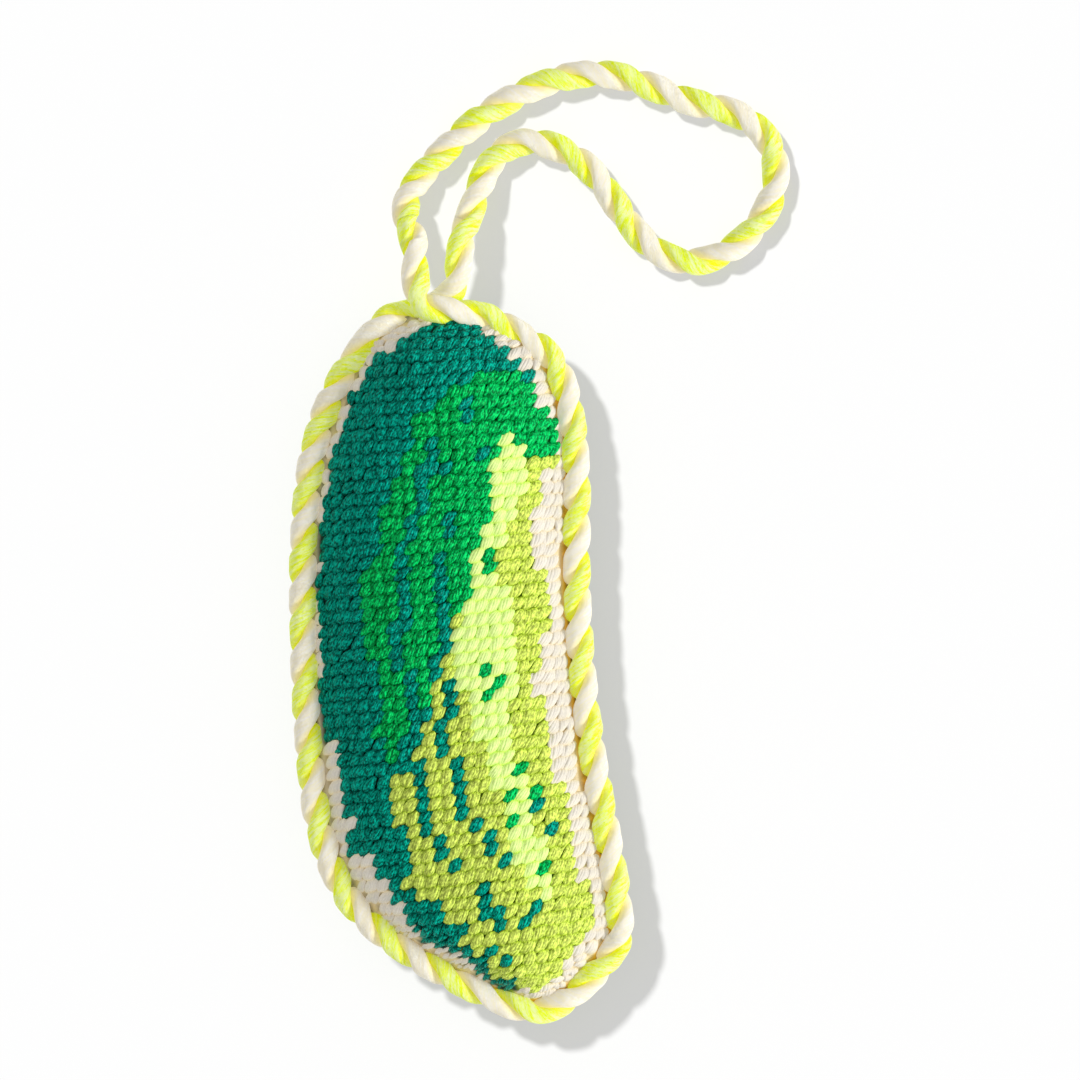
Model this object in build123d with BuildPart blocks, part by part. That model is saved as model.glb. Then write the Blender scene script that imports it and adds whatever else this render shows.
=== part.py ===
"""A stuffed needlepoint pickle ornament with a twisted cord trim and a hanging loop.

It lies on its back: +X is to the right of the stitched face, +Y runs up to the hanging loop and +Z points out of the
face. Lengths are in millimetres.
"""

import math
import os

from build123d import *

# Driving dimensions of the stuffed body
CROWN_HEIGHT = 9.5
BACK_DEPTH = 8.0
CROWN_FULLNESS = 0.75
BACK_FULLNESS = 0.6
REST_SHARE = 0.5
TOP_SHARE = 0.16
THREAD_THICKNESS = 1.2
CANVAS_THICKNESS = 0.5
BACKING_THICKNESS = 0.9
LAYER_GAP = 0.1

# Seam: margins of both panels turned in, and the stitches through them
SEAM_MARGIN = 4.5
SEAM_LINE = 3.0
SEAM_PITCH = 3.0
STITCH_LENGTH = 2.2
THREAD_WIDTH = 0.4
CLOSING_LENGTH = 36.0
CLOSING_PITCH = 4.0
CLOSING_STITCH = 2.8
CLOSING_START = 150.0

# Cord: the trim round the edge, its tacks and the hanging loop
CORD_DIAMETER = 4.2
EDGE_GAP = 0.1
CORD_BEND = 4.2
ROOT_GAP = 0.3
ROOT_HEIGHT = 8.8
LEFT_LEG = -6.7
RIGHT_LEG = -0.2
TACK_PITCH = 9.5
TACK_REACH = 1.6
TACK_DROP = 0.5

# Needlepoint: stitches as seen from above, and how far the canvas threads lean
STITCH_PITCH = 1.9
STITCH_LEAN = 5.0
STITCH_BEND = 0.05
FACE_WIDTH = 60.0
FACE_LENGTH = 120.0

# Corners of the seam outline, anticlockwise from the top left, each with the spine point that it is drawn in to
SPINE_TOP = (-2.6, 38.0)
SPINE_UPPER = (-3.2, 19.5)
SPINE_MIDDLE = (-3.0, -6.0)
SPINE_LOWER = (1.4, -31.5)
SPINE_FOOT = (5.4, -42.4)
OUTLINE = [
    ((-10.2, 50.0), SPINE_TOP),
    ((-19.3, 37.6), SPINE_TOP),
    ((-21.6, 19.6), SPINE_UPPER),
    ((-21.2, -7.4), SPINE_MIDDLE),
    ((-19.2, -27.6), SPINE_LOWER),
    ((-10.8, -40.4), SPINE_FOOT),
    ((7.0, -50.8), SPINE_FOOT),
    ((14.8, -50.8), SPINE_FOOT),
    ((21.3, -44.2), SPINE_FOOT),
    ((21.9, -35.6), SPINE_LOWER),
    ((15.1, -0.4), SPINE_MIDDLE),
    ((14.6, 38.6), SPINE_TOP),
    ((4.3, 50.0), SPINE_TOP),
]

# Outlines of the colour fields, seen from above, in the order in which each covers the one before
FIGURE = [
    (-4.0, 51.6), (-12.0, 45.6), (-15.6, 43.6), (-17.0, 37.6), (-19.4, 31.6), (-21.2, 23.6), (-24.0, 15.6),
    (-24.0, -10.4), (-19.0, -13.4), (-18.0, -21.9), (-15.8, -24.4), (-17.2, -28.2), (-12.7, -31.2), (-5.5, -42.6),
    (-1.3, -43.8), (8.0, -51.4), (12.0, -52.4), (16.7, -46.2), (20.0, -42.4), (20.0, -37.4), (17.0, -27.4),
    (17.6, -24.0), (12.8, -13.2), (14.0, -9.6), (11.3, -3.4), (14.0, 8.6), (14.0, 11.6), (11.2, 14.6),
    (11.2, 20.1), (12.5, 27.1), (16.0, 30.6), (16.0, 33.1), (11.3, 38.6), (11.3, 42.6), (3.0, 51.6),
]
GREEN = [
    (13.0, 42.6), (3.2, 42.8), (-0.1, 41.0), (-6.1, 36.7), (-7.6, 31.9), (-11.0, 24.7), (-12.7, 19.9),
    (-12.1, 15.1), (-15.3, 12.4), (-14.0, 0.7), (-11.8, -3.0), (-11.8, -7.8), (-13.2, -10.2), (-9.6, -16.8),
    (-9.0, -12.4), (-6.0, -8.4), (-3.0, -3.4), (-1.0, 4.6), (4.0, 9.6), (8.0, 21.6), (9.8, 31.2), (18.0, 31.6),
]
LIME = [
    (9.8, 30.9), (20.0, 30.9), (26.0, -36.4), (14.0, -56.4), (7.1, -49.8), (0.2, -43.2), (-0.1, -40.8),
    (-4.3, -35.4), (-8.2, -34.8), (-7.4, -27.0), (-9.7, -25.2), (-10.2, -17.7), (-7.3, -15.6), (-3.7, -4.8),
    (-1.6, 6.1), (1.7, 9.3), (5.5, 19.6), (8.5, 28.6),
]
NEON = [
    (6.6, 33.4), (4.7, 27.1), (5.0, 22.3), (3.3, 18.1), (1.3, 15.1), (2.0, 9.4), (-0.7, 4.3), (-0.4, -3.6),
    (1.1, -6.0), (4.4, -16.8), (7.2, -21.6), (8.9, -30.6), (11.3, -34.5), (14.6, -35.7), (14.0, -30.0),
    (11.3, -24.0), (10.0, -15.0), (8.0, -13.8), (8.3, -3.6), (8.0, 7.6), (5.7, 12.7), (6.4, 18.7), (8.3, 21.7),
    (9.8, 25.3), (9.9, 31.3), (7.8, 33.4),
]

# Warts: upright dashes one stitch wide, each with its place, top end first, and its number of stitches
TEAL_MARKS = [
    (-4.9, 32.6, 3), (-6.3, 28.2, 4), (-7.8, 19.8, 2), (-9.4, 17.4, 7), (-10.1, 4.3, 4), (-7.0, -3.4, 5),
    (1.1, 37.8, 2), (2.8, 31.0, 1), (-2.8, 29.0, 1), (-0.8, 20.4, 2), (-2.8, 15.8, 6), (-2.4, 3.0, 2),
    (-3.7, -1.2, 2), (-1.0, -4.8, 3), (-2.5, -10.5, 3), (-5.4, -16.2, 6), (0.2, -16.2, 5), (-2.5, -27.6, 2),
    (2.8, -25.4, 1), (5.3, -26.8, 2), (-0.1, -31.3, 1), (7.8, -30.6, 1), (2.6, -33.2, 3), (1.1, -39.4, 1),
    (5.0, -38.6, 2), (3.8, -43.0, 1), (5.9, -44.4, 1), (2.3, -46.2, 1), (6.5, -49.0, 1), (11.0, -36.8, 1),
    (9.5, -39.2, 1), (12.6, -22.4, 1), (14.6, -24.4, 1),
]
GREEN_MARKS = [
    (4.5, 15.8, 2), (4.4, -1.5, 1), (6.2, -3.0, 1), (4.8, -5.0, 1), (8.9, -16.6, 1), (8.3, -19.5, 1),
    (10.6, -20.6, 1), (8.4, -23.2, 1), (12.2, -31.0, 1),
]

# Route of the loop as it lies, from the left root to the right one, past the first and last points at the roots
LOOP_ROUTE = [
    (-7.4, 63.8, 6.9), (-8.7, 67.4, 4.5), (-7.2, 71.4, 2.7), (-2.9, 76.2, 2.2), (2.3, 81.2, 2.2), (8.4, 85.0, 2.2),
    (15.0, 87.7, 2.2), (22.0, 88.4, 2.2), (28.4, 85.9, 2.2), (34.4, 82.9, 2.2), (40.6, 81.9, 2.2), (46.0, 78.5, 2.2),
    (48.1, 72.7, 2.2), (46.2, 66.2, 2.2), (41.2, 60.9, 2.2), (34.5, 58.6, 2.2), (28.3, 61.4, 2.2), (24.1, 67.2, 2.2),
    (20.3, 73.2, 2.2), (14.9, 77.2, 2.2), (8.6, 78.3, 2.2), (4.0, 74.6, 2.4), (2.4, 69.6, 4.0), (0.7, 65.0, 6.4),
]

cord_radius = CORD_DIAMETER / 2
seam_height = BACK_DEPTH
trim_offset = cord_radius + EDGE_GAP
canvas_inset = THREAD_THICKNESS + LAYER_GAP
lining_inset = canvas_inset + CANVAS_THICKNESS
front_fill_inset = lining_inset + LAYER_GAP
back_fill_inset = BACKING_THICKNESS + LAYER_GAP
CROWN_SHARES = [1.0, 0.95, 0.84, 0.66, 0.42, TOP_SHARE]
BACK_SHARES = [1.0, 0.95, 0.86, 0.72, REST_SHARE]


def offset_corners(distance):
    """Corners of the seam outline, moved square to its sides, outwards for a positive distance."""
    corners = [Vector(*corner) for corner, anchor in OUTLINE]
    moved = []
    for index, corner in enumerate(corners):
        before = (corner - corners[index - 1]).normalized()
        after = (corners[(index + 1) % len(corners)] - corner).normalized()
        outward = Vector(before.Y + after.Y, -before.X - after.X)
        moved.append(corner + outward * (distance / (1 + before.dot(after))))
    return moved


def outline_points(inset, share):
    """Corners of the seam outline, set in, then drawn in towards the spine by a share."""
    anchors = [Vector(*anchor) for corner, anchor in OUTLINE]
    return [anchor + (corner - anchor) * share for corner, anchor in zip(offset_corners(-inset), anchors)]


def turn_tangent(before, corner, after):
    """Tangent of half the turn at a corner of a route."""
    return math.tan(math.radians((corner - before).get_angle(after - corner)) / 2)


def round_radii(points, closed=False):
    """One radius for each corner, as large as the shorter of its two runs allows."""
    count = len(points)
    radii = []
    for index in range(count) if closed else range(1, count - 1):
        before = points[index - 1]
        corner = points[index]
        after = points[(index + 1) % count]
        shorter = min((corner - before).length, (after - corner).length)
        radii.append(0.45 * shorter / turn_tangent(before, corner, after))
    return radii


def section(inset, share, height):
    """A level cut through the body."""
    points = outline_points(inset, share)
    with BuildSketch(Plane.XY.offset(height), mode=Mode.PRIVATE) as face:
        with BuildLine():
            FilletPolyline(*points, radius=round_radii(points, closed=True), close=True)
        make_face()
    return face.sketch


def front(inset, mode=Mode.ADD):
    """The stuffed front half, from the seam up, with its surface set in from the stitched one."""
    rise = CROWN_HEIGHT - inset
    heights = [seam_height + rise * (1 - share**2) ** CROWN_FULLNESS for share in CROWN_SHARES]
    loft([section(inset, share, height) for share, height in zip(CROWN_SHARES, heights)], mode=mode)


def back(inset, mode=Mode.ADD):
    """The stuffed back half, from the seam down to its flat rest, with its surface set in from the cloth."""
    fall = BACK_DEPTH - inset
    bends = [(share - REST_SHARE) / (1 - REST_SHARE) for share in BACK_SHARES]
    heights = [seam_height - fall * (1 - bend**2) ** BACK_FULLNESS for bend in bends]
    loft([section(inset, share, height) for share, height in zip(BACK_SHARES, heights)], mode=mode)


def band(outer_inset, inner_inset, low, thickness, mode=Mode.ADD):
    """A flat band along the seam, between two insets."""
    outer = outline_points(outer_inset, 1.0)
    inner = outline_points(inner_inset, 1.0)
    with BuildSketch(Plane.XY.offset(low), mode=Mode.PRIVATE) as ring_face:
        with BuildLine():
            FilletPolyline(*outer, radius=round_radii(outer, closed=True), close=True)
        make_face()
        with BuildLine():
            FilletPolyline(*inner, radius=round_radii(inner, closed=True), close=True)
        make_face(mode=Mode.SUBTRACT)
    extrude(ring_face.sketch, amount=thickness, mode=mode)


def flat_field(points):
    """A flat colour field from its closed outline."""
    with BuildSketch(mode=Mode.PRIVATE) as area:
        with BuildLine():
            Polyline(*points, close=True)
        make_face()
    return area.sketch


def stitch_lean(along):
    """Lean of the canvas at a height on the face, in degrees."""
    return STITCH_LEAN - STITCH_BEND * along


def stitch_place(across, along):
    """Place on the face of a point given along canvas rows and columns, in millimetres from the middle."""
    lean = math.radians(stitch_lean(along))
    mean_lean = math.radians(stitch_lean(along / 2))
    x = across * math.cos(lean) - along * math.sin(mean_lean)
    y = across * math.sin(lean) + along * math.cos(mean_lean)
    return Vector(x, y)


def mark_place(x, y, count):
    """Centre and lean of a dash of whole stitches whose top stitch is the one nearest to a point."""
    across = x
    along = y
    for step in range(6):
        miss = Vector(x, y) - stitch_place(across, along)
        across += miss.X
        along += miss.Y
    column = round(across / STITCH_PITCH)
    middle_row = round(along / STITCH_PITCH) - (count - 1) / 2
    return stitch_place(column * STITCH_PITCH, middle_row * STITCH_PITCH), stitch_lean(middle_row * STITCH_PITCH)


def flat_marks(places):
    """A flat field of upright dashes, one stitch wide."""
    with BuildSketch(mode=Mode.PRIVATE) as area:
        for x, y, count in places:
            centre, lean = mark_place(x, y, count)
            with Locations(Location((centre.X, centre.Y), lean)):
                Rectangle(STITCH_PITCH - LAYER_GAP, count * STITCH_PITCH - LAYER_GAP)
    return area.sketch


def stitches(area):
    """One colour of thread: the part of the thread layer that stands over its flat field."""
    add(thread_layer.part)
    extrude(area, amount=seam_height + 2 * CROWN_HEIGHT, mode=Mode.INTERSECT)


def edge_place(line, start, outset=0.0, turned=0.0):
    """Place at a distance along a closed line, moved out from it, with its direction turned by an angle."""
    distance = start % line.length
    spot = line.position_at(distance, position_mode=PositionMode.LENGTH)
    along = line.tangent_at(distance, position_mode=PositionMode.LENGTH)
    direction = math.degrees(math.atan2(along.Y, along.X))
    return Location((spot.X + along.Y * outset, spot.Y - along.X * outset), direction + turned)


def thread_bars(places, length, low, height):
    """Short bars of sewing thread with round ends, all at one level."""
    with BuildSketch(Plane.XY.offset(low), mode=Mode.PRIVATE) as bars:
        with Locations(*places):
            SlotOverall(length, THREAD_WIDTH)
    extrude(bars.sketch, amount=height)


def seam_stitch_row(first, pitch, count, length):
    """Bars of thread through both margins, evenly along a stretch of the seam line."""
    places = [edge_place(seam_line, first + (index + 0.5) * pitch) for index in range(count)]
    low = seam_height - BACKING_THICKNESS - THREAD_WIDTH / 2
    thread_bars(places, length, low, BACKING_THICKNESS + CANVAS_THICKNESS + THREAD_WIDTH)


def cord(points, radii, thickness, mode=Mode.ADD):
    """A plain round cord along straight runs joined by tangent arcs."""
    with BuildLine(mode=Mode.PRIVATE) as route:
        FilletPolyline(*points, radius=radii)
    path = route.wires()[0]
    with BuildSketch(Plane(origin=path @ 0, z_dir=path % 0), mode=Mode.PRIVATE) as disc:
        Circle(thickness / 2)
    sweep(sections=disc.sketch, path=path, mode=mode)
    return path.length


# Flat fields of the five thread colours, each less what later colours cover
figure = flat_field(FIGURE)
green = flat_field(GREEN)
lime = flat_field(LIME)
neon = flat_field(NEON)
teal_marks = flat_marks(TEAL_MARKS)
green_marks = flat_marks(GREEN_MARKS)

with BuildSketch() as neon_field:
    add(neon)
    add(green_marks, mode=Mode.SUBTRACT)
    add(teal_marks, mode=Mode.SUBTRACT)

with BuildSketch() as lime_field:
    add(lime)
    add(figure, mode=Mode.INTERSECT)
    add(neon, mode=Mode.SUBTRACT)
    add(green_marks, mode=Mode.SUBTRACT)
    add(teal_marks, mode=Mode.SUBTRACT)

with BuildSketch() as green_field:
    add(green)
    add(figure, mode=Mode.INTERSECT)
    add(lime, mode=Mode.SUBTRACT)
    add(neon, mode=Mode.SUBTRACT)
    add(green_marks)
    add(teal_marks, mode=Mode.SUBTRACT)

with BuildSketch() as teal_field:
    add(figure)
    add(green, mode=Mode.SUBTRACT)
    add(lime, mode=Mode.SUBTRACT)
    add(neon, mode=Mode.SUBTRACT)
    add(teal_marks)

with BuildSketch() as cream_field:
    Rectangle(FACE_WIDTH, FACE_LENGTH)
    add(figure, mode=Mode.SUBTRACT)
    add(teal_marks, mode=Mode.SUBTRACT)

# Needlepoint canvas with its turned-in margin
with BuildPart() as canvas_ground:
    front(canvas_inset)
    front(lining_inset, mode=Mode.SUBTRACT)
    band(lining_inset, canvas_inset + SEAM_MARGIN, seam_height, CANVAS_THICKNESS)
canvas_ground.part.label = "canvas_ground"

# Thread layer over the whole canvas, shared out to the five colours
with BuildPart() as thread_layer:
    front(0)
    front(THREAD_THICKNESS, mode=Mode.SUBTRACT)

with BuildPart() as cream_stitches:
    stitches(cream_field.sketch)
cream_stitches.part.label = "cream_stitches"

with BuildPart() as teal_stitches:
    stitches(teal_field.sketch)
teal_stitches.part.label = "teal_stitches"

with BuildPart() as green_stitches:
    stitches(green_field.sketch)
green_stitches.part.label = "green_stitches"

with BuildPart() as lime_stitches:
    stitches(lime_field.sketch)
lime_stitches.part.label = "lime_stitches"

with BuildPart() as neon_stitches:
    stitches(neon_field.sketch)
neon_stitches.part.label = "neon_stitches"

# Cloth back with its turned-in margin, flat where it rests
with BuildPart() as backing_panel:
    back(0)
    back(BACKING_THICKNESS, mode=Mode.SUBTRACT)
    band(BACKING_THICKNESS, canvas_inset + SEAM_MARGIN, seam_height - BACKING_THICKNESS, BACKING_THICKNESS)
backing_panel.part.label = "backing_panel"

# Fibre fill, with a groove for the margins and the stitches through them
with BuildPart() as stuffing:
    front(front_fill_inset)
    back(back_fill_inset)
    groove_low = seam_height - BACKING_THICKNESS - THREAD_WIDTH
    groove_height = BACKING_THICKNESS + CANVAS_THICKNESS + 2 * THREAD_WIDTH
    band(0, canvas_inset + SEAM_MARGIN + LAYER_GAP, groove_low, groove_height, mode=Mode.SUBTRACT)
stuffing.part.label = "stuffing"

# Stitches through both margins: by hand where the filling went in, by machine along the rest of the seam
seam_line = section(SEAM_LINE, 1.0, seam_height).wires()[0]
closing_count = round(CLOSING_LENGTH / CLOSING_PITCH)
machine_length = seam_line.length - CLOSING_LENGTH
machine_count = round(machine_length / SEAM_PITCH)

with BuildPart() as closing_stitches:
    seam_stitch_row(CLOSING_START, CLOSING_LENGTH / closing_count, closing_count, CLOSING_STITCH)
closing_stitches.part.label = "closing_stitches"

with BuildPart() as seam_stitches:
    seam_stitch_row(CLOSING_START + CLOSING_LENGTH, machine_length / machine_count, machine_count, STITCH_LENGTH)
seam_stitches.part.label = "seam_stitches"

# Route of the trim: from the left root of the loop it turns along the top edge, goes round clockwise and ends at the turn
lift = Vector(0, 0, seam_height)
ring = [corner + lift for corner in offset_corners(trim_offset)]
edge_corners = offset_corners(0)
edge_radii = round_radii(edge_corners, closed=True)
ring_radii = []
for index, corner in enumerate(edge_corners):
    before = corner - edge_corners[index - 1]
    after = edge_corners[(index + 1) % len(edge_corners)] - corner
    ring_radii.append(edge_radii[index] + math.copysign(trim_offset, before.cross(after).Z))

top_left = ring[0]
top_right = ring[-1]
left_share = (top_right.X - LEFT_LEG) / (top_right.X - top_left.X)
turn = top_right + (top_left - top_right) * left_share
root_y = turn.Y + ROOT_HEIGHT
root_end_y = root_y - cord_radius - ROOT_GAP
left_end = Vector(LEFT_LEG, root_end_y, seam_height)
join = (ring[0] + ring[1]) / 2
top_room = (turn - top_right).length - CORD_BEND * turn_tangent(left_end, turn, top_right) - EDGE_GAP
top_radius = min(ring_radii[-1], top_room / turn_tangent(turn, top_right, ring[-2]))
trim_points = [left_end, turn, *reversed(ring[1:]), join]
trim_radii = [CORD_BEND, top_radius, *reversed(ring_radii[1:-1])]
turn_points = [left_end, turn, top_right, (ring[-1] + ring[-2]) / 2]

# Trim cord, whose far end and the tail of the right leg are shaped to the turn that covers them
with BuildPart() as trim_cord:
    cord([join, top_left, turn + (top_right - turn).normalized() * CORD_BEND], [ring_radii[0]], CORD_DIAMETER)
    with BuildSketch(Plane(origin=(RIGHT_LEG, turn.Y, seam_height), z_dir=(0, 1, 0)), mode=Mode.PRIVATE) as tail:
        Circle(cord_radius)
    extrude(tail.sketch, amount=root_end_y - turn.Y)
    cord(turn_points, [CORD_BEND, top_radius], CORD_DIAMETER + 2 * EDGE_GAP, mode=Mode.SUBTRACT)
    trim_length = cord(trim_points, trim_radii, CORD_DIAMETER)
trim_cord.part.label = "trim_cord"

# Hand stitches that hold the trim, from the margin of the back into the cord
edge_line = section(0, 1.0, seam_height).wires()[0]
tack_count = round(edge_line.length / TACK_PITCH)
tack_step = edge_line.length / tack_count
tack_outset = (trim_offset - TACK_REACH) / 2

with BuildPart() as trim_tacks:
    tack_places = [edge_place(edge_line, index * tack_step, tack_outset, 90) for index in range(tack_count)]
    thread_bars(tack_places, TACK_REACH + trim_offset, seam_height - TACK_DROP - THREAD_WIDTH / 2, THREAD_WIDTH)
trim_tacks.part.label = "trim_tacks"

# Hanging loop, lying on the surface, with round ends on the line about which it folds
left_root = Vector(LEFT_LEG, root_y, seam_height)
right_root = Vector(RIGHT_LEG, root_y, seam_height)
loop_points = [left_root, *[Vector(*point) for point in LOOP_ROUTE], right_root]
loop_radii = round_radii(loop_points)

with BuildPart() as hanging_loop:
    loop_length = cord(loop_points, loop_radii, CORD_DIAMETER)
    loop_tube_volume = hanging_loop.part.volume
    with Locations(left_root, right_root):
        Sphere(cord_radius)
hanging_loop.part.label = "hanging_loop"

cord_area = math.pi * cord_radius**2
loop_fill = loop_tube_volume / cord_area / loop_length
print("loop length", round(loop_length, 1), "volume over section times length", round(loop_fill, 3))
print("loop radii", [round(radius, 1) for radius in loop_radii])
print("trim length", round(trim_length, 1), "least radius", round(min(trim_radii), 1))
print("fold line at y", round(root_y, 2), "z", seam_height)

os.makedirs("parts", exist_ok=True)
export_step(canvas_ground.part, "parts/canvas_ground.step")
export_step(teal_stitches.part, "parts/teal_stitches.step")
export_step(green_stitches.part, "parts/green_stitches.step")
export_step(lime_stitches.part, "parts/lime_stitches.step")
export_step(neon_stitches.part, "parts/neon_stitches.step")
export_step(cream_stitches.part, "parts/cream_stitches.step")
export_step(backing_panel.part, "parts/backing_panel.step")
export_step(stuffing.part, "parts/stuffing.step")
export_step(seam_stitches.part, "parts/seam_stitches.step")
export_step(closing_stitches.part, "parts/closing_stitches.step")
export_step(trim_cord.part, "parts/trim_cord.step")
export_step(trim_tacks.part, "parts/trim_tacks.step")
export_step(hanging_loop.part, "parts/hanging_loop.step")
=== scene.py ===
"""Looks of a stuffed needlepoint pickle ornament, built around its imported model.

The stitches, the twisted cord and the cloth are made here. Lengths in the tables below are in millimetres and angles in
degrees, in the model's own frame, unless a comment says otherwise. Everything in the scene is in metres.
"""

from collections import namedtuple
import math

import bmesh
import bpy
import numpy as np
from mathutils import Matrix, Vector
from mathutils.bvhtree import BVHTree


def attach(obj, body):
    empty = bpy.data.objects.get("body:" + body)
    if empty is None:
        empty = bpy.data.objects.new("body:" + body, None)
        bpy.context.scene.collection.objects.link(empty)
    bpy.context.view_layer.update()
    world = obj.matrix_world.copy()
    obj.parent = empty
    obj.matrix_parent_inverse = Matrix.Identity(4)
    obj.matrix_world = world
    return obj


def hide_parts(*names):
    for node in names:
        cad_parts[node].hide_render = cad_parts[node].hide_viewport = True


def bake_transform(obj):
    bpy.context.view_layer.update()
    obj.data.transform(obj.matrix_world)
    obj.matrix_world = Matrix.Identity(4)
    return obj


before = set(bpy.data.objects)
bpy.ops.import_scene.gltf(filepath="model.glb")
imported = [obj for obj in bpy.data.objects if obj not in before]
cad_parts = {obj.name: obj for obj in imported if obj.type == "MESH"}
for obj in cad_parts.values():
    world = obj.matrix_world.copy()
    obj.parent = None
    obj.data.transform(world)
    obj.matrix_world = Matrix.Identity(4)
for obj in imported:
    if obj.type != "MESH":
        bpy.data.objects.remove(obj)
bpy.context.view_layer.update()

MM = 0.001
random = np.random.default_rng(12)

# Stuffed body
SEAM_HEIGHT = 8.0
CROWN_HEIGHT = 9.5
CROWN_FULLNESS = 0.75
TOP_SHARE = 0.16
CANVAS_INSET = 1.3
CANVAS_LOWEST = 0.05
BACK_DEPTH = 8.0
BACK_FULLNESS = 0.6
REST_SHARE = 0.5
SEAM_MARGIN = 4.5
SEAM_INSIDE_CORD = 1.3
FACE_INSIDE_CORD = 1.55
# Height above the seam below which the canvas lies in the valley along the cord, where a painted reflection of the cord
# goes on the right
VALLEY_HEIGHT = 0.7
TOP_LIFT = np.array([0.0, 2.5, 0.0])
RING_STEPS = 14
FACE_JOIN = 0.3
BACK_JOIN = 0.5

# Rings of the face and the back, as shares of the way from the spine to the seam
CROWN_SHARES = [1.0, 0.97, 0.93, 0.88, 0.82, 0.74, 0.66, 0.56, 0.46, 0.36, 0.26, TOP_SHARE, 0.08, 0.0]
BACK_SHARES = [1.0, 0.985, 0.965, 0.94, 0.91, 0.87, 0.82, 0.76, 0.69, 0.61, 0.53, 0.45, 0.36, 0.27, 0.18, 0.09, 0.0]

# Spine that the outline is drawn in to
SPINE_TOP = (-2.6, 38.0)
SPINE_UPPER = (-3.2, 19.5)
SPINE_MIDDLE = (-3.0, -6.0)
SPINE_LOWER = (1.4, -31.5)
SPINE_FOOT = (5.4, -42.4)

# Filling out of the back: depth of the rim that is held, furthest move of a point, and frames that it takes
RIM_DEPTH = 0.9
SWELL_LIMIT = 1.0
SWELL_FRAMES = 15

# Fibre fill: size of its faces, its mean distance under the cloth, and height of its lumps
FILL_GRAIN = 2.0
FILL_INSET = 0.35
FILL_LUMP = 0.15

# Canvas
STITCH_PITCH = 1.9
STITCH_LEAN = 5.0
STITCH_BEND = 0.05
CANVAS_ROWS = 30
CANVAS_COLUMNS = 17
STEEP = 1.1
SLOPE_LIMIT = 0.3
LOOK_FROM = 50.0

# Tent stitch: a bundle of strands, with its run and rise in millimetres to each side of its middle
STITCH_WIDTH = 1.44
STITCH_RUN = 0.6
STITCH_RISE = 1.14
STITCH_DIVE = 0.5
STITCH_DIVE_POWER = 2.3
STITCH_ARCH = 0.55
STITCH_PINCH = 0.5
STITCH_STEPS = np.array([-1.0, -0.66, -0.24, 0.24, 0.66, 1.0])
STITCH_SIDES = 6
STRAND_OFFSETS = np.array([-0.5, -0.25, 0.0, 0.25, 0.5])
STRAND_RADIUS = 0.31
STRAND_TAPER = 0.2
NORMAL_LIMIT = 0.4
DIP_POWER = 3

# How the stitches differ from one another
TURN_SPREAD = 4.5
RUN_RANGE = (0.85, 1.15)
PLACE_SPREAD = 0.05
FULLNESS_RANGE = (0.9, 1.1)
LIFT_SPREAD = 0.07
TWIST_LIMIT = 0.7
TONE_LIMIT = 0.5

# Beyond the coloured figure the border is cream, but at the top it is teal above this height and between these sides
TEAL_TOP = 48.3
TEAL_TOP_SIDES = (-4.6, 3.0)

# Cream borders: the thread that they take the place of, from where to where across the face, and how high they reach
# above the seam at places along it
BORDERS = [
    ("teal_stitches", (-30.0, -4.6), [15.0, 45.0], [1.2, 2.7]),
    ("lime_stitches", (8.0, 30.0), [-48.0, -44.0, -40.5, -39.5], [3.6, 4.4, 4.2, 0.0]),
]

# Boxes in which stitches of one thread are worked in another, as the photograph shows
REWORKED = [
    ((8.5, 30.3), (15.8, 32.6), "teal_stitches", "green_stitches"),
    ((9.0, 40.9), (11.8, 43.2), "green_stitches", "teal_stitches"),
]

# Cord: one closed route, up the left leg, round the loop, down the right leg and round the body
LOOP_ROUTE = [
    (-7.4, 63.8, 6.9), (-8.7, 67.4, 4.5), (-7.2, 71.4, 2.7), (-2.9, 76.2, 2.2), (2.3, 81.2, 2.2), (8.4, 85.0, 2.2),
    (15.0, 87.7, 2.2), (22.0, 88.4, 2.2), (28.4, 86.4, 2.2), (34.4, 83.8, 2.2), (40.6, 82.8, 2.2), (46.0, 79.4, 2.2),
    (48.0, 73.4, 2.2), (46.2, 67.0, 2.2), (41.2, 61.5, 2.2), (34.5, 59.1, 2.2), (28.3, 61.8, 2.2), (24.1, 67.2, 2.2),
    (20.3, 73.2, 2.2), (14.9, 77.2, 2.2), (8.6, 78.3, 2.2), (4.0, 74.6, 2.4), (2.4, 69.6, 4.0), (0.7, 65.0, 6.4),
]
RIGHT_LEG = [(-0.2, 61.0, 8.0), (-0.4, 57.2, 7.2), (-1.6, 54.4, 6.4), (-4.6, 52.5, 6.2), (-8.2, 51.7, 7.0)]
TRIM_ROUTE = [
    (-11.8, 51.0, 8.0), (-20.7, 38.3, 8.0), (-23.9, 21.3, 8.0), (-23.4, -8.7, 8.0), (-21.1, -29.1, 8.0),
    (-13.6, -41.3, 8.0), (8.5, -53.2, 8.0), (15.2, -52.4, 8.0), (23.0, -44.4, 8.0), (24.6, -39.8, 8.0),
    (17.0, -0.7, 8.0), (17.8, 42.8, 8.0), (5.6, 50.7, 8.0),
]
TRIM_ANCHORS = [
    SPINE_TOP, SPINE_TOP, SPINE_UPPER, SPINE_MIDDLE, SPINE_LOWER, SPINE_FOOT, SPINE_FOOT, SPINE_FOOT, SPINE_FOOT,
    SPINE_LOWER, SPINE_MIDDLE, SPINE_TOP, SPINE_TOP,
]
LEFT_LEG = [(1.8, 51.7, 9.0), (-2.2, 52.0, 10.2), (-6.0, 52.8, 10.2), (-6.9, 56.8, 9.0), (-6.7, 61.0, 8.0)]
CORD_STEPS = 24
CORD_STEP = 0.35
CORD_SIDES = 28

# Roots of the loop: the height at which the loop's piece of cord begins and ends, and the share of the route by which
# it has ended
LEG_SPLIT = 65.3
LOOP_SHARE = 0.36

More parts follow.
